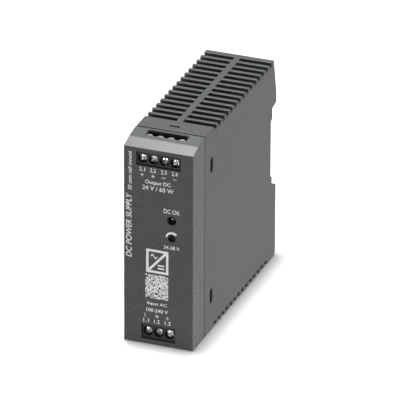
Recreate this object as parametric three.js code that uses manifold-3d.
// DIN rail power supply, 24 V DC, in a slim plastic housing.
// Units are millimetres and +Z is up. The object stands on its bottom vents, its front face looks
// along -Y, and the rail notch is at the back. The finished group has its origin at the middle of
// its footprint. Inside this file every sub-part is drawn with Y as the depth behind the front
// face, and the last lines move the whole object back by half its depth.
import * as THREE from "three";
import { mergeVertices } from "three/addons/utils/BufferGeometryUtils.js";
import Module from "manifold-3d";

const wasm = await Module();
wasm.setup();

// ---------------------------------------------------------------- driving dimensions

const WIDTH = 32;
const HEIGHT = 97;
const DEPTH = 103;
const WALL = 1.8;
const FIT_GAP = 0.3; // clear space between pieces that touch on the real object

// Front cover
const COVER_DEPTH = 13.9;
const CHAMFER_DEPTH = 6.1; // depth of the sloping strip above the front face
const CHAMFER_FOOT = 93.85; // height where the front face ends
const CHAMFER_TOP = 95.77; // height where the sloping strip ends
const TONGUE_WALL = 1.2; // rim of the cover that slides inside the housing
const TONGUE_END = 17.5;

// Terminals
const PITCH = 5;
const OUTPUT_POLES = 4;
const INPUT_POLES = 3;
const OUTPUT_AXIS = 88.8; // height of the output screws
const INPUT_AXIS = 5.95; // height of the input screws
const POLE = { wellRadius: 2.3, headRadius: 2, shankRadius: 1.3, slotHalf: 2.2, cageHalf: 2 };
const SCREW_HOLE_RADIUS = POLE.shankRadius + FIT_GAP;
const TERMINAL_NOSE = 0.7;
const TERMINAL_BACK = 13.6;
const SCREW_HEAD = [1.6, 3];
const SEAT = [3.3, 4.1]; // the shelf under each screw head
const SCREW_TIP = 8.1;
const BUSBAR = [8.4, 9.4];
const CAGE = { front: 6.9, back: 13, plate: 1.2, rear: 0.8, side: 0.5 };
const OUTPUT_TAB = 5.2; // how far the round tab of a clamp rises above its screw axis
const INPUT_TAB = 3.2;
const WIRE_WELL = [8.5, 13];

// Front face controls
const LED_AT = { x: 6.1, z: 61.4 };
const TRIMMER_AT = { x: 6.2, z: 52.9 };
const TRIMMER_REST_ANGLE = THREE.MathUtils.degToRad(-120);
const LED_HOLE_RADIUS = 2.05;
const TRIMMER_HOLE_RADIUS = 1.75;

// Housing
const HOUSING_FRONT = 14.25;
const GROOVE_BACK = 14.9; // the joint line is wider on the top and bottom faces
const GROOVE_DEEP = 1.2;
const VENT_PITCH = 4.87;
const VENT_WIDE = 3;
const VENT_DROP = 2.3; // how far a vent runs down the side
const SPINE_HALF = 1.5;
const TOP_VENTS = { count: 15, first: 26.7 };
const BOTTOM_VENTS = { count: 14, first: 27.2 };
const SNAP = { front: 21, wide: 3, upper: [76.5, 83.7], lower: [13.3, 20.2] };
const TOP_SNAP = { half: 2.3, from: 19, to: 20.4 };

// Rail notch and latch
const RAIL_SEAT = 98; // depth of the two pads that the rail flanges rest on
const NOTCH_FLOOR = 96.3;
const NOTCH_TOP = 68.6;
const LOWER_SEAT_FOOT = 37.6;
const HOOK_UNDERSIDE = 74.2;
// The seats are sunk a little between the pads, behind the hook and the latch.
const SEAT_RELIEF = { floor: 97.6, upperHalf: 10.6, lowerHalf: 8.4, lowerTop: 41.3 };
const LATCH_CHANNEL = { half: 8, front: 98.9, back: 102 };
const LATCH = { half: 7.6, front: 99.2, back: 101.7, foot: 4.4, shoulder: 38.2, tip: 41 };
const LATCH_WINDOW = { half: 2.2, foot: 12, top: 31 };
const SPRING_PEG = { half: 1.8, foot: 12.3, top: 14.3 };
const SPRING = { coilRadius: 0.95, wireRadius: 0.2, turns: 7 };

// Circuit board
const BOARD = { face: 10.8, back: 12.4, foot: 4, top: 93, front: 3.4, rear: 92 };

// ---------------------------------------------------------------- materials

function finish(color, roughness, metalness = 0) {
  return new THREE.MeshStandardMaterial({ color, roughness, metalness });
}

const HOUSING_PLASTIC = finish(0x55595a, 0.55);
const COVER_PLASTIC = finish(0x4b4f50, 0.5);
const TERMINAL_PLASTIC = finish(0x17191a, 0.5);
const SCREW_STEEL = finish(0xc4c7c9, 0.3, 1);
const TINNED_COPPER = finish(0xb9bcb4, 0.35, 1);
const SPRING_STEEL = finish(0x8e9296, 0.3, 1);
const LATCH_PLASTIC = finish(0x2a2c2d, 0.5);
const BOARD_GREEN = finish(0x1f5a35, 0.45);
const ALUMINIUM = finish(0xb4b7ba, 0.4, 1);
const FERRITE = finish(0x2c2c2e, 0.7);
const WINDING_TAPE = finish(0xc9a227, 0.45);
const COPPER_WIRE = finish(0xa85a2a, 0.35, 1);
const BLACK_EPOXY = finish(0x121314, 0.6);
const CAPACITOR_SLEEVE = finish(0x1b2a3a, 0.35);
const FILM_CASE = finish(0xb8a33a, 0.5);
const DISC_BLUE = finish(0x2b5fa0, 0.4);
const DISC_GREEN = finish(0x2f6b45, 0.5);
const FUSE_BODY = finish(0xd8d2c2, 0.3);
const TRIMMER_BLUE = finish(0x2a57a8, 0.4);
const TRIMMER_WHITE = finish(0xd9d9d4, 0.4);
const LED_LENS = finish(0x2d4a33, 0.2);

// ---------------------------------------------------------------- solids

// A closed geometry as a solid that can be joined and cut.
function solidFrom(geometry) {
  const bare = geometry.index ? geometry.toNonIndexed() : geometry.clone();
  bare.deleteAttribute("normal");
  bare.deleteAttribute("uv");
  const merged = mergeVertices(bare, 1e-4);
  return new wasm.Manifold(
    new wasm.Mesh({
      numProp: 3,
      vertProperties: new Float32Array(merged.attributes.position.array),
      triVerts: new Uint32Array(merged.index.array),
    }),
  );
}

function joined(solids) {
  return solids.reduce((all, next) => all.add(next));
}

function cutAway(solid, cutters) {
  return cutters.reduce((rest, cutter) => rest.subtract(cutter), solid);
}

// A box between two coordinates on each axis.
function block([x0, x1], [y0, y1], [z0, z1]) {
  const box = new THREE.BoxGeometry(x1 - x0, y1 - y0, z1 - z0);
  box.translate((x0 + x1) / 2, (y0 + y1) / 2, (z0 + z1) / 2);
  return solidFrom(box);
}

// A round bar along Y.
function rodAlongY(radius, [y0, y1], x, z, sides = 24) {
  const bar = new THREE.CylinderGeometry(radius, radius, y1 - y0, sides);
  bar.translate(x, (y0 + y1) / 2, z);
  return solidFrom(bar);
}

// A round bar along X.
function rodAlongX(radius, [x0, x1], y, z, sides = 24) {
  const bar = new THREE.CylinderGeometry(radius, radius, x1 - x0, sides);
  bar.rotateZ(Math.PI / 2);
  bar.translate((x0 + x1) / 2, y, z);
  return solidFrom(bar);
}

// A side-view outline, with shape x as depth and shape y as height, spread across a range of X.
function acrossX(outline, [x0, x1], curveSegments = 6) {
  const slab = new THREE.ExtrudeGeometry(outline, {
    depth: x1 - x0,
    bevelEnabled: false,
    curveSegments,
  });
  const depthAxis = new THREE.Vector3(0, 1, 0);
  const heightAxis = new THREE.Vector3(0, 0, 1);
  const widthAxis = new THREE.Vector3(1, 0, 0);
  slab.applyMatrix4(new THREE.Matrix4().makeBasis(depthAxis, heightAxis, widthAxis));
  slab.translate(x0, 0, 0);
  return solidFrom(slab);
}

function outlineOf(points) {
  return new THREE.Shape(points.map(([depth, height]) => new THREE.Vector2(depth, height)));
}

// An upright slot with round ends, between two heights.
function stadium([y0, y1], [z0, z1]) {
  const radius = (y1 - y0) / 2;
  const middle = (y0 + y1) / 2;
  const shape = new THREE.Shape();
  shape.absarc(middle, z1 - radius, radius, 0, Math.PI);
  shape.absarc(middle, z0 + radius, radius, Math.PI, 2 * Math.PI);
  shape.closePath();
  return shape;
}

// ---------------------------------------------------------------- scene graph helpers

const assembly = new THREE.Group();

function addPiece(name, solid, material) {
  const { numProp, vertProperties, triVerts } = solid.getMesh();
  const geometry = new THREE.BufferGeometry();
  geometry.setAttribute("position", new THREE.BufferAttribute(vertProperties, numProp));
  geometry.setIndex(new THREE.BufferAttribute(triVerts, 1));
  geometry.computeVertexNormals();
  const mesh = new THREE.Mesh(geometry, material);
  mesh.name = name;
  assembly.add(mesh);
  return mesh;
}

// ---------------------------------------------------------------- housing

function housingOutline() {
  const cornerRadius = 2.5;
  const shape = new THREE.Shape();
  shape.moveTo(HOUSING_FRONT, 0);
  shape.lineTo(DEPTH - cornerRadius, 0);
  shape.absarc(DEPTH - cornerRadius, cornerRadius, cornerRadius, -Math.PI / 2, 0);
  shape.lineTo(DEPTH, 35);
  shape.lineTo(RAIL_SEAT, LOWER_SEAT_FOOT);
  shape.lineTo(RAIL_SEAT, 40.8);
  shape.lineTo(NOTCH_FLOOR, 41.7);
  shape.lineTo(NOTCH_FLOOR, NOTCH_TOP);
  shape.lineTo(RAIL_SEAT, 69.4);
  shape.lineTo(RAIL_SEAT, HOOK_UNDERSIDE);
  shape.lineTo(DEPTH - 0.5, 75.2);
  shape.lineTo(DEPTH, 76);
  shape.lineTo(DEPTH - 0.1, 80.5);
  shape.lineTo(DEPTH - 0.6, 83);
  shape.lineTo(DEPTH - 3.6, HEIGHT);
  shape.lineTo(HOUSING_FRONT, HEIGHT);
  return shape;
}

function housingCavity() {
  const inside = WIDTH / 2 - WALL;
  const outline = outlineOf([
    [HOUSING_FRONT - 1, 2],
    [97.2, 2],
    [97.2, 33.5],
    [94.6, 36.5],
    [94.6, 75.5],
    [98, 78.5],
    [98, HEIGHT - 2],
    [HOUSING_FRONT - 1, HEIGHT - 2],
  ]);
  return acrossX(outline, [-inside, inside]);
}

// One vent: a slot across the face that turns over the edge and ends round on the side.
function ventCutter(middle, side, onTop) {
  const half = VENT_WIDE / 2;
  const across = [middle - half, middle + half];
  const edge = WIDTH / 2 + 0.2;
  const faceRange = onTop ? [HEIGHT - 2.2, HEIGHT + 0.2] : [-0.2, 2.2];
  const sideRange = onTop
    ? [HEIGHT - VENT_DROP, HEIGHT + 2 * half]
    : [-2 * half, VENT_DROP];
  const slotX = side > 0 ? [SPINE_HALF, edge] : [-edge, -SPINE_HALF];
  const wallX = side > 0 ? [WIDTH / 2 - WALL - 0.4, edge] : [-edge, WALL + 0.4 - WIDTH / 2];
  return block(slotX, across, faceRange).add(acrossX(stadium(across, sideRange), wallX, 2));
}

function ventCutters({ count, first }, onTop) {
  const rows = Array.from({ length: count }, (_, row) => first + row * VENT_PITCH);
  return rows.flatMap((middle) => [ventCutter(middle, 1, onTop), ventCutter(middle, -1, onTop)]);
}

// The round-ended windows in both sides that the cover's barbs snap into.
function snapWindows() {
  const across = [SNAP.front, SNAP.front + SNAP.wide];
  const through = [-WIDTH / 2 - 1, WIDTH / 2 + 1];
  return [SNAP.upper, SNAP.lower].map((range) => acrossX(stadium(across, range), through));
}

function faceSnapWindows() {
  const { half, from, to } = TOP_SNAP;
  return [
    block([-half, half], [from, to], [HEIGHT - 2.5, HEIGHT + 0.5]),
    block([-half, half], [from, to], [-0.5, 2.5]),
  ];
}

// The joint line on the top and bottom faces is a wider, shallow groove.
function jointGrooves() {
  const across = [-WIDTH / 2 - 1, WIDTH / 2 + 1];
  const along = [HOUSING_FRONT - 1, GROOVE_BACK];
  return [
    block(across, along, [HEIGHT - GROOVE_DEEP, HEIGHT + 1]),
    block(across, along, [-1, GROOVE_DEEP]),
  ];
}

// Pairs of short ribs that hold the long edges of the circuit board.
function boardGuides() {
  const starts = [25, 54, 83];
  const pairs = [
    [BOARD.face - 1.4, BOARD.face - FIT_GAP],
    [BOARD.back + FIT_GAP, BOARD.back + 1.4],
  ];
  const ribs = (start) =>
    pairs.flatMap((range) => [
      block(range, [start, start + 8], [1.5, BOARD.foot + 1]),
      block(range, [start, start + 8], [BOARD.top - 1, HEIGHT - 1.5]),
    ]);
  return starts.flatMap(ribs);
}

// The lip that hangs behind the upper flange of the rail.
function railHook() {
  const lip = outlineOf([
    [99.4, 71.9],
    [100.1, 71.3],
    [101, 72.2],
    [101.4, 76],
    [99.4, 76],
  ]);
  return acrossX(lip, [-10, 10]);
}

// Leaves four pads, clear of the hook and the latch, for the flanges of the rail to rest on.
function seatReliefs() {
  const { floor, upperHalf, lowerHalf, lowerTop } = SEAT_RELIEF;
  const across = [floor, RAIL_SEAT + 1];
  return [
    block([-upperHalf, upperHalf], across, [NOTCH_TOP, HOOK_UNDERSIDE]),
    block([-lowerHalf, lowerHalf], across, [LOWER_SEAT_FOOT, lowerTop]),
  ];
}

function latchChannel() {
  const { half, front, back } = LATCH_CHANNEL;
  return block([-half, half], [front, back], [-1, 40]);
}

// A screwdriver reaches the foot of the latch through this slot.
function latchAccess() {
  return block([-4, 4], [LATCH_CHANNEL.back - 1, DEPTH + 1], [-1, 10]);
}

function springPeg() {
  const { half, foot, top } = SPRING_PEG;
  return block([-half, half], [LATCH_CHANNEL.front - 0.5, 101.3], [foot, top]);
}

function makeHousing() {
  const cutters = [
    housingCavity(),
    ...ventCutters(TOP_VENTS, true),
    ...ventCutters(BOTTOM_VENTS, false),
    ...snapWindows(),
    ...faceSnapWindows(),
    ...jointGrooves(),
    ...seatReliefs(),
    latchChannel(),
    latchAccess(),
  ];
  const shell = cutAway(acrossX(housingOutline(), [-WIDTH / 2, WIDTH / 2]), cutters);
  const whole = joined([shell, ...boardGuides(), railHook(), springPeg()]);
  addPiece("housing_shell", whole, HOUSING_PLASTIC);
}

// ---------------------------------------------------------------- front cover

// Height of the cover's top face at a depth; it rises gently towards the housing.
function coverTop(depth) {
  const rise = (HEIGHT - CHAMFER_TOP) / (COVER_DEPTH - CHAMFER_DEPTH);
  return CHAMFER_TOP + rise * (depth - CHAMFER_DEPTH);
}

function coverBody() {
  const shape = outlineOf([
    [0, 0.4],
    [0.4, 0],
    [COVER_DEPTH, 0],
    [COVER_DEPTH, HEIGHT],
    [CHAMFER_DEPTH, CHAMFER_TOP],
    [0, CHAMFER_FOOT],
  ]);
  return acrossX(shape, [-WIDTH / 2, WIDTH / 2]);
}

function coverCavity() {
  const inside = WIDTH / 2 - WALL;
  const shape = outlineOf([
    [WALL, WALL],
    [COVER_DEPTH + 1, WALL],
    [COVER_DEPTH + 1, HEIGHT - WALL],
    [CHAMFER_DEPTH, CHAMFER_TOP - WALL],
    [WALL, CHAMFER_FOOT - 1.3],
  ]);
  return acrossX(shape, [-inside, inside]);
}

// The walls that lead the wires from the outside of the cover to the terminal block.
function wireCollar(half, [z0, z1]) {
  return block([-half - 1.2, half + 1.2], [WIRE_WELL[0] - 1.2, COVER_DEPTH], [z0, z1]);
}

// The thin rim that slides into the housing, joined to the cover's own walls.
function coverTongue() {
  const outerX = WIDTH / 2 - WALL - FIT_GAP;
  const outerZ = [2 + FIT_GAP, HEIGHT - 2 - FIT_GAP];
  const innerX = outerX - TONGUE_WALL;
  const innerZ = [outerZ[0] + TONGUE_WALL, outerZ[1] - TONGUE_WALL];
  const sleeve = block([-outerX, outerX], [COVER_DEPTH - 3, TONGUE_END], outerZ);
  const bore = block([-innerX, innerX], [COVER_DEPTH - 4, TONGUE_END + 1], innerZ);
  const landHalf = WIDTH / 2 - 1;
  const land = block([-landHalf, landHalf], [COVER_DEPTH - 3, COVER_DEPTH], [1, HEIGHT - 1.5]);
  const landBore = block([-innerX, innerX], [COVER_DEPTH - 4, COVER_DEPTH + 1], innerZ);
  return sleeve.subtract(bore).add(land.subtract(landBore));
}

// A side finger whose barb sits in a window of the housing.
function sideSnap(side, [z0, z1]) {
  const outer = WIDTH / 2 - WALL - FIT_GAP;
  const barbTip = WIDTH / 2 - 0.7;
  const front = SNAP.front + 0.3;
  const profile = new THREE.Shape(
    [
      [outer - TONGUE_WALL, TONGUE_END - 0.5],
      [outer, TONGUE_END - 0.5],
      [outer, front],
      [barbTip, front],
      [barbTip, front + 0.6],
      [outer, front + 2.3],
      [outer - 0.5, front + 2.8],
      [outer - TONGUE_WALL, front + 2.8],
    ].map(([x, y]) => new THREE.Vector2(side * x, y)),
  );
  const finger = new THREE.ExtrudeGeometry(profile, { depth: z1 - z0 - 2, bevelEnabled: false });
  finger.translate(0, 0, z0 + 1);
  return solidFrom(finger);
}

// The finger in the middle of the top or bottom face.
function faceSnap(onTop) {
  const outer = 2 + FIT_GAP;
  const profile = [
    [TONGUE_END - 0.5, outer],
    [TOP_SNAP.from + 0.3, outer],
    [TOP_SNAP.from + 0.3, 0.9],
    [TOP_SNAP.from + 0.7, 0.9],
    [TOP_SNAP.to - 0.3, outer],
    [TOP_SNAP.to + 0.6, outer + 0.4],
    [TOP_SNAP.to + 0.6, outer + TONGUE_WALL],
    [TONGUE_END - 0.5, outer + TONGUE_WALL],
  ];
  const placed = profile.map(([depth, z]) => [depth, onTop ? HEIGHT - z : z]);
  return acrossX(outlineOf(placed), [-TOP_SNAP.half + 0.4, TOP_SNAP.half - 0.4]);
}

// The space inside the cover that a terminal block and its clamps sit in.
function terminalPocket(poles, frame) {
  const half = blockHalf(poles) + FIT_GAP;
  return block([-half, half], [WALL, TERMINAL_BACK + FIT_GAP], frame.z(-4.2, 3.9));
}

function makeFrontCover() {
  const outputHalf = 9.55;
  const inputHalf = 7.4;
  const outputCollar = wireCollar(outputHalf, [OUTPUT_AXIS + 4, HEIGHT]).intersect(coverBody());
  const inputCollar = wireCollar(inputHalf, [0, INPUT_AXIS - 4]);
  const windows = [
    block([-10.3, 10.3], [-1, 3], [85.6, 92.05]),
    block([-7.85, 7.85], [-1, 3], [2.4, 9.5]),
    block([-outputHalf, outputHalf], WIRE_WELL, [OUTPUT_AXIS + 3, HEIGHT + 1]),
    block([-inputHalf, inputHalf], WIRE_WELL, [-1, INPUT_AXIS - 3]),
    terminalPocket(OUTPUT_POLES, OUTPUT_FRAME),
    terminalPocket(INPUT_POLES, INPUT_FRAME),
    rodAlongY(LED_HOLE_RADIUS, [-1, 3], LED_AT.x, LED_AT.z, 32),
    rodAlongY(TRIMMER_HOLE_RADIUS, [-1, 3], TRIMMER_AT.x, TRIMMER_AT.z, 32),
  ];
  const snaps = [-1, 1].flatMap((side) => [sideSnap(side, SNAP.upper), sideSnap(side, SNAP.lower)]);
  const shell = joined([
    coverBody().subtract(coverCavity()),
    coverTongue(),
    outputCollar,
    inputCollar,
    faceSnap(true),
    faceSnap(false),
    ...snaps,
  ]);
  addPiece("front_cover", cutAway(shell, windows), COVER_PLASTIC);
}

// ---------------------------------------------------------------- terminals

// Everything about a row of poles is drawn with height measured from the screw axis towards the
// wire entry. The entry is up for the output and down for the input.
function poleFrame(axisHeight, entry, tab) {
  const range = (low, high) => [axisHeight + entry * low, axisHeight + entry * high].sort((a, b) => a - b);
  return { axisHeight, entry, tab, z: range };
}

const OUTPUT_FRAME = poleFrame(OUTPUT_AXIS, 1, OUTPUT_TAB);
const INPUT_FRAME = poleFrame(INPUT_AXIS, -1, INPUT_TAB);

function blockHalf(poles) {
  return (poles * PITCH) / 2 + 0.2;
}

function poleX(pole, poles) {
  return (pole - (poles - 1) / 2) * PITCH;
}

function makeTerminalBlock(name, poles, frame, noseHalf, noseRange) {
  const half = blockHalf(poles);
  const body = block([-half, half], [WALL + FIT_GAP, TERMINAL_BACK], frame.z(-3.9, 3.6));
  const nose = block([-noseHalf, noseHalf], [TERMINAL_NOSE, WALL + 1], noseRange);
  const cutters = [];
  const cellBack = WIRE_WELL[1] + 0.2;
  for (let pole = 0; pole < poles; pole++) {
    const x = poleX(pole, poles);
    const cell = [x - POLE.slotHalf, x + POLE.slotHalf];
    const busbarSlot = [BUSBAR[0] - FIT_GAP, BUSBAR[1] + FIT_GAP];
    cutters.push(
      rodAlongY(POLE.wellRadius, [TERMINAL_NOSE - 1, SEAT[0]], x, frame.axisHeight, 20),
      rodAlongY(SCREW_HOLE_RADIUS, [SEAT[0] - 1, SEAT[1] + 1], x, frame.axisHeight, 16),
      block(cell, [SEAT[1], cellBack], frame.z(-3.1, 2.8)),
      block(cell, [BUSBAR[0], cellBack], frame.z(0, 4)),
      block([x - 1.7, x + 1.7], busbarSlot, frame.z(-5, 0)),
    );
  }
  addPiece(name, cutAway(body.add(nose), cutters), TERMINAL_PLASTIC);
}

// A screw with a head that takes a flat or a cross-tip driver.
function makeScrew(name, x, z) {
  const head = rodAlongY(POLE.headRadius, SCREW_HEAD, x, z, 20);
  const shank = rodAlongY(POLE.shankRadius, [SCREW_HEAD[0] + 0.5, SCREW_TIP], x, z, 12);
  const slotDepth = [SCREW_HEAD[0] - 1, SCREW_HEAD[0] + 0.7];
  const slot = block([x - 3, x + 3], slotDepth, [z - 0.3, z + 0.3]);
  const cross = block([x - 0.3, x + 0.3], slotDepth, [z - 1.3, z + 1.3]);
  addPiece(name, cutAway(head.add(shank), [slot, cross]), SCREW_STEEL);
}

// The cage that is drawn towards the screw head and grips the wire against the busbar. Its rear
// plate ends in a round tab that shows in the wire entry.
function makeCage(name, x, frame) {
  const { front, back, plate, rear, side } = CAGE;
  const outerX = [x - POLE.cageHalf, x + POLE.cageHalf];
  const innerX = [x - POLE.cageHalf + side, x + POLE.cageHalf - side];
  const loop = block(outerX, [front, back], frame.z(-2.8, 2.5));
  const hollow = block(innerX, [front + plate, back - rear], frame.z(-4, 4));
  const thread = rodAlongY(SCREW_HOLE_RADIUS, [front - 1, front + plate + 1], x, frame.axisHeight, 16);
  const tabRadius = 1.9;
  const tabThick = [back - rear, back];
  const tabHeight = frame.tab - tabRadius;
  const tabDisc = rodAlongY(tabRadius, tabThick, x, frame.axisHeight + frame.entry * tabHeight, 24);
  const tabNeck = block([x - tabRadius, x + tabRadius], tabThick, frame.z(0, tabHeight));
  addPiece(name, joined([cutAway(loop, [hollow, thread]), tabDisc, tabNeck]), TINNED_COPPER);
}

// The fixed tongue inside each cage, and its strip to the circuit board. Poles further from the
// board reach further back, so that the strips pass each other.
function makeBusbar(name, x, pole, frame) {
  const tongue = block([x - 1.2, x + 1.2], BUSBAR, frame.z(-5.6, 2.4));
  const turn = 27 - pole * 3;
  const strip = block([x - 0.6, x + 0.6], [BUSBAR[0], turn + 1.2], frame.z(-5.6, -4.8));
  const foot = block([x - 0.6, BOARD.face - FIT_GAP], [turn, turn + 1.2], frame.z(-5.6, -4.8));
  addPiece(name, joined([tongue, strip, foot]), TINNED_COPPER);
}

function makeTerminals(label, poles, frame, noseHalf, noseRange) {
  makeTerminalBlock(`${label}_terminal_block`, poles, frame, noseHalf, noseRange);
  for (let pole = 0; pole < poles; pole++) {
    const x = poleX(pole, poles);
    makeScrew(`${label}_screw_${pole + 1}`, x, frame.axisHeight);
    makeCage(`${label}_clamp_${pole + 1}`, x, frame);
    makeBusbar(`${label}_busbar_${pole + 1}`, x, pole, frame);
  }
}

// ---------------------------------------------------------------- rail latch

function makeRailLatch() {
  const { half, front, back, foot, shoulder, tip } = LATCH;
  const plate = block([-half, half], [front, back], [foot, shoulder]);
  const lipOutline = outlineOf([
    [front + 0.1, shoulder - 1],
    [back - 0.5, shoulder - 1],
    [back - 0.8, tip - 1.2],
    [front + 0.1, tip],
  ]);
  const lip = acrossX(lipOutline, [-half, half]);
  const window = LATCH_WINDOW;
  const cutters = [
    block([-window.half, window.half], [front - 1, back + 1], [window.foot, window.top]),
    block([-2.5, 2.5], [front - 1, back + 1], [foot + 1.5, foot + 3.3]),
  ];
  addPiece("rail_latch", cutAway(plate.add(lip), cutters), LATCH_PLASTIC);
}

function makeLatchSpring() {
  const { coilRadius, wireRadius, turns } = SPRING;
  const foot = SPRING_PEG.top + FIT_GAP + wireRadius;
  const rise = LATCH_WINDOW.top - FIT_GAP - wireRadius - foot;
  const stepsPerTurn = 8;
  const points = [];
  for (let step = 0; step <= turns * stepsPerTurn; step++) {
    const share = step / (turns * stepsPerTurn);
    const angle = 2 * Math.PI * turns * share;
    const around = [coilRadius * Math.cos(angle), coilRadius * Math.sin(angle)];
    points.push(new THREE.Vector3(...around, foot + rise * share));
  }
  const wire = new THREE.Shape().absarc(0, 0, wireRadius, 0, 2 * Math.PI);
  const coil = new THREE.ExtrudeGeometry(wire, {
    steps: turns * stepsPerTurn,
    curveSegments: 3,
    extrudePath: new THREE.CatmullRomCurve3(points),
  });
  coil.translate(0, (LATCH.front + LATCH.back) / 2, 0);
  addPiece("latch_spring", solidFrom(coil), SPRING_STEEL);
}

// ---------------------------------------------------------------- circuit board and components

function makeBoard() {
  const across = [BOARD.face, BOARD.back];
  const main = block(across, [16.2, BOARD.rear], [BOARD.foot, BOARD.top]);
  const controlEnd = block(across, [BOARD.front, 17], [16, 80]);
  addPiece("main_board", main.add(controlEnd), BOARD_GREEN);
}

// Two round leads between a component and the board.
function leads(componentFace, pairs, radius = 0.4) {
  return pairs.map(([y, z]) => rodAlongX(radius, [componentFace - 0.5, BOARD.face - FIT_GAP], y, z, 8));
}

function makeFuse() {
  const x = 5.5;
  const tube = rodAlongY(2.4, [31.5, 46.5], x, 13, 20);
  const caps = [[29, 33], [45, 49]].map((range) => rodAlongY(2.7, range, x, 13, 20));
  const posts = leads(x, [[30, 13], [48, 13]], 0.5);
  addPiece("input_fuse", joined([tube, ...caps, ...posts]), FUSE_BODY);
}

// A disc-shaped component that stands on edge on its two leads.
function makeDisc(name, radius, thick, y, z, material) {
  const x = BOARD.face - 3 - radius;
  const disc = rodAlongY(radius, [y - thick / 2, y + thick / 2], x, z, 28);
  const spread = radius * 0.55;
  const pins = leads(x, [[y, z - spread], [y, z + spread]]);
  addPiece(name, joined([disc, ...pins]), material);
}

function makeFilmCapacitor() {
  const body = block([-6.5, BOARD.face - 0.8], [54, 71], [6.5, 16.5]);
  const pins = leads(BOARD.face - 1, [[56, 11.5], [69, 11.5]]);
  addPiece("input_film_capacitor", joined([body, ...pins]), FILM_CASE);
}

function ringProfile(innerRadius, outerRadius) {
  const ring = new THREE.Shape().absarc(0, 0, outerRadius, 0, 2 * Math.PI);
  ring.holes.push(new THREE.Path().absarc(0, 0, innerRadius, 0, 2 * Math.PI, true));
  return ring;
}

// A ring core with two windings on opposite halves.
function makeLineChoke() {
  const y = 82;
  const z = 18;
  const x = 1;
  const coreRadius = 7;
  const coreHalf = 2.2;
  const core = new THREE.TorusGeometry(coreRadius, coreHalf, 10, 24);
  core.rotateY(Math.PI / 2);
  core.translate(x, y, z);
  addPiece("line_choke_core", solidFrom(core), FERRITE);
  [1, -1].forEach((side, index) => {
    const arc = [];
    for (let step = 0; step <= 8; step++) {
      const angle = side * (Math.PI / 2) + (step / 8 - 0.5) * 2.2;
      arc.push(new THREE.Vector3(x, y + coreRadius * Math.cos(angle), z + coreRadius * Math.sin(angle)));
    }
    const sleeve = new THREE.ExtrudeGeometry(ringProfile(coreHalf + FIT_GAP, coreHalf + 1.2), {
      steps: 8,
      curveSegments: 6,
      extrudePath: new THREE.CatmullRomCurve3(arc),
    });
    const topZ = z + side * coreRadius;
    const pin = rodAlongX(0.5, [x + coreHalf + 0.6, BOARD.face - FIT_GAP], y, topZ, 8);
    addPiece(`line_choke_winding_${index + 1}`, solidFrom(sleeve).add(pin), COPPER_WIRE);
  });
}

function makeBridgeRectifier() {
  const body = block([-6, BOARD.face - 2], [57, 60.6], [19.5, 34.5]);
  const pins = leads(BOARD.face - 2, [[58.8, 21.5], [58.8, 25.2], [58.8, 28.8], [58.8, 32.5]]);
  addPiece("bridge_rectifier", joined([body, ...pins]), BLACK_EPOXY);
}

// An electrolytic can that lies along the board, with its leads bent down at one end.
function makeBulkCapacitor() {
  const radius = 9;
  const x = BOARD.face - 1 - radius;
  const can = rodAlongY(radius, [24, 54], x, 36, 36);
  const neck = rodAlongY(radius + 0.1, [24, 25.4], x, 36, 36);
  const pins = [33, 39].map((z) => rodAlongY(0.4, [53, 55.4], x, z, 8));
  const drops = [33, 39].map((z) =>
    block([x - 0.4, BOARD.face - FIT_GAP], [54.8, 55.6], [z - 0.4, z + 0.4]),
  );
  addPiece("bulk_capacitor", joined([can, neck, ...pins, ...drops]), CAPACITOR_SLEEVE);
}

// A flat aluminium fin, folded over at its free edge, with two feet in the board.
function makeHeatsink(name, y, [z0, z1]) {
  const fin = block([-12.5, BOARD.face - 1], [y, y + 2], [z0, z1]);
  const fold = block([-12.5, -10.5], [y, y + 6], [z0, z1]);
  const feet = [z0 + 3, z1 - 5].map((z) =>
    block([BOARD.face - 2, BOARD.face - FIT_GAP], [y + 0.5, y + 1.5], [z, z + 2]),
  );
  addPiece(name, joined([fin, fold, ...feet]), ALUMINIUM);
}

// A three-pin power device with its tab against the heatsink.
function makePowerDevice(name, y, z) {
  const tab = block([-8.5, -1], [y + 3, y + 4.2], [z - 5, z + 5]);
  const hole = rodAlongY(1.8, [y + 2, y + 5], -6.2, z, 16);
  const body = block([-1.5, 6], [y, y + 4.2], [z - 5, z + 5]);
  const pins = [-2.54, 0, 2.54].map((step) =>
    block([5.5, BOARD.face - FIT_GAP], [y + 1.6, y + 2.2], [z + step - 0.4, z + step + 0.4]),
  );
  addPiece(name, joined([tab.subtract(hole), body, ...pins]), BLACK_EPOXY);
}

// Two E-shaped ferrite halves, closed around the winding, with all three legs along Z.
function makeTransformer() {
  const x = [-11, 8];
  const y = [61, 83];
  const yokeZ = [38, 62];
  const windowZ = [42.5, 57.5];
  const outerLeg = 3;
  const legHalf = 4;
  const middleY = (y[0] + y[1]) / 2;
  const legX = [x[0] + 3.5, x[1] - 3.5];
  const open = [y[0] + outerLeg, y[1] - outerLeg];
  const hollow = block([x[0] - 1, x[1] + 1], open, windowZ);
  const centreLeg = block(legX, [middleY - legHalf, middleY + legHalf], windowZ);
  addPiece("transformer_core", block(x, y, yokeZ).subtract(hollow).add(centreLeg), FERRITE);

  const coil = block(
    [x[0] + 0.6, x[1] - 0.6],
    [open[0] + FIT_GAP, open[1] - FIT_GAP],
    [windowZ[0] + FIT_GAP, windowZ[1] - FIT_GAP],
  );
  const bore = block(
    [legX[0] - FIT_GAP, legX[1] + FIT_GAP],
    [middleY - legHalf - FIT_GAP, middleY + legHalf + FIT_GAP],
    [windowZ[0] - 1, windowZ[1] + 1],
  );
  const pinRows = [middleY - 6, middleY + 6].flatMap((at) => [[at, 46], [at, 54]]);
  const winding = joined([coil.subtract(bore), ...leads(x[1] - 0.5, pinRows)]);
  addPiece("transformer_winding", winding, WINDING_TAPE);
}

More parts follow.
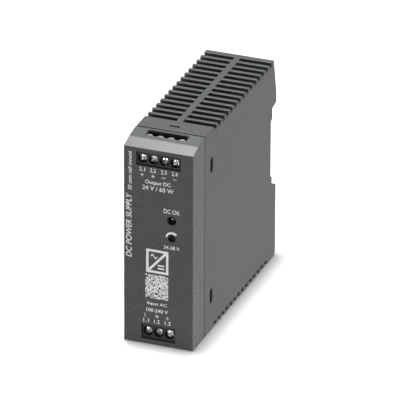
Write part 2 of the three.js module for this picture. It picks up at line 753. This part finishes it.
// An upright electrolytic can with its vented end towards the far side.
function makeOutputCapacitor(name, y, z) {
  const can = rodAlongX(5, [-9.5, BOARD.face - 1], y, z, 28);
  const pins = leads(BOARD.face - 1, [[y - 2.5, z], [y + 2.5, z]]);
  addPiece(name, joined([can, ...pins]), CAPACITOR_SLEEVE);
}

// A drum core choke: two flanges and the winding between them, on two pins.
function makeOutputChoke() {
  const y = 32;
  const z = 68;
  const drum = rodAlongX(4.6, [-4, BOARD.face - 2], y, z, 24);
  const ends = [[-5, -3.5], [BOARD.face - 2.5, BOARD.face - 1]];
  const flanges = ends.map((range) => rodAlongX(5.4, range, y, z, 24));
  const pins = leads(BOARD.face - 1, [[y - 3, z], [y + 3, z]]);
  addPiece("output_choke", joined([drum, ...flanges, ...pins]), COPPER_WIRE);
}

// A small moulded chip with a row of legs on each side.
function makeChip(name, y, z, legsPerSide) {
  const long = legsPerSide * 2.54;
  const top = BOARD.face - 4;
  const body = block([top, BOARD.face - 0.8], [y - long / 2, y + long / 2], [z - 3.2, z + 3.2]);
  const legs = [];
  for (let leg = 0; leg < legsPerSide; leg++) {
    const at = y + (leg - (legsPerSide - 1) / 2) * 2.54;
    const legWide = [at - 0.3, at + 0.3];
    legs.push(
      block([top + 1.6, top + 2], legWide, [z - 4.2, z + 4.2]),
      block([top + 1.6, BOARD.face - FIT_GAP], legWide, [z - 4.2, z - 3.8]),
      block([top + 1.6, BOARD.face - FIT_GAP], legWide, [z + 3.8, z + 4.2]),
    );
  }
  addPiece(name, joined([body, ...legs]), BLACK_EPOXY);
}

// ---------------------------------------------------------------- front controls

// The output voltage is set with a screwdriver in the trimmer's white rotor. At rest its slot points
// at the low end of the printed scale.
function makeTrimmer() {
  const { x, z } = TRIMMER_AT;
  const body = block([x - 3.3, x + 3.3], [4, 8.6], [z - 3.3, z + 3.3]);
  const seat = rodAlongY(2.6, [3, 6.5], x, z, 28);
  const pins = leads(x + 3.3, [[7.6, z - 2.5], [7.6, z], [7.6, z + 2.5]]);
  addPiece("trimmer_body", joined([body.subtract(seat), ...pins]), TRIMMER_BLUE);

  const rotor = rodAlongY(2.3, [3.1, 6.2], x, z, 28);
  const shaft = rodAlongY(1.4, [0.9, 4], x, z, 24);
  const slot = new THREE.BoxGeometry(0.7, 1.8, 6);
  slot.rotateY(TRIMMER_REST_ANGLE);
  slot.translate(x, 0.9, z);
  addPiece("trimmer_rotor", joined([rotor, shaft]).subtract(solidFrom(slot)), TRIMMER_WHITE);
}

// A round status lamp on bent leads, just behind its hole in the cover.
function makeStatusLamp() {
  const { x, z } = LED_AT;
  const dome = new THREE.SphereGeometry(1.5, 16, 8);
  dome.translate(x, 2.6, z);
  const barrel = rodAlongY(1.5, [2.6, 6], x, z, 16);
  const flange = rodAlongY(1.9, [5.4, 6.6], x, z, 16);
  const legs = [z - 1.27, z + 1.27].map((at) =>
    block([x - 0.25, x + 0.25], [6.4, 8], [at - 0.25, at + 0.25])
      .add(block([x - 0.25, BOARD.face - FIT_GAP], [7.5, 8], [at - 0.25, at + 0.25])),
  );
  addPiece("status_lamp", joined([solidFrom(dome), barrel, flange, ...legs]), LED_LENS);
}

// ---------------------------------------------------------------- assembly

makeHousing();
makeFrontCover();
makeTerminals("output", OUTPUT_POLES, OUTPUT_FRAME, 10, [85.9, 91.75]);
makeTerminals("input", INPUT_POLES, INPUT_FRAME, 7.55, [2.7, 9.2]);
makeRailLatch();
makeLatchSpring();
makeBoard();
makeFuse();
makeDisc("surge_varistor", 5, 4, 34, 21, DISC_BLUE);
makeDisc("inrush_thermistor", 4.5, 4, 45, 20.5, DISC_GREEN);
makeFilmCapacitor();
makeLineChoke();
makeBridgeRectifier();
makeBulkCapacitor();
makeHeatsink("primary_heatsink", 85.5, [30, 62]);
makeTransformer();
makeDisc("safety_capacitor", 3.6, 3.4, 57, 50, DISC_BLUE);
makeHeatsink("output_heatsink", 85.5, [64, 90]);
makePowerDevice("output_rectifier", 80.8, 77);
makeOutputCapacitor("output_capacitor_1", 52, 74);
makeOutputCapacitor("output_capacitor_2", 64, 74);
makeOutputChoke();
makeChip("optocoupler", 48, 57, 2);
makeChip("control_chip", 30, 55, 4);
makeTrimmer();
makeStatusLamp();

assembly.position.y = -DEPTH / 2;
const powerSupply = new THREE.Group();
powerSupply.add(assembly);

export default powerSupply;
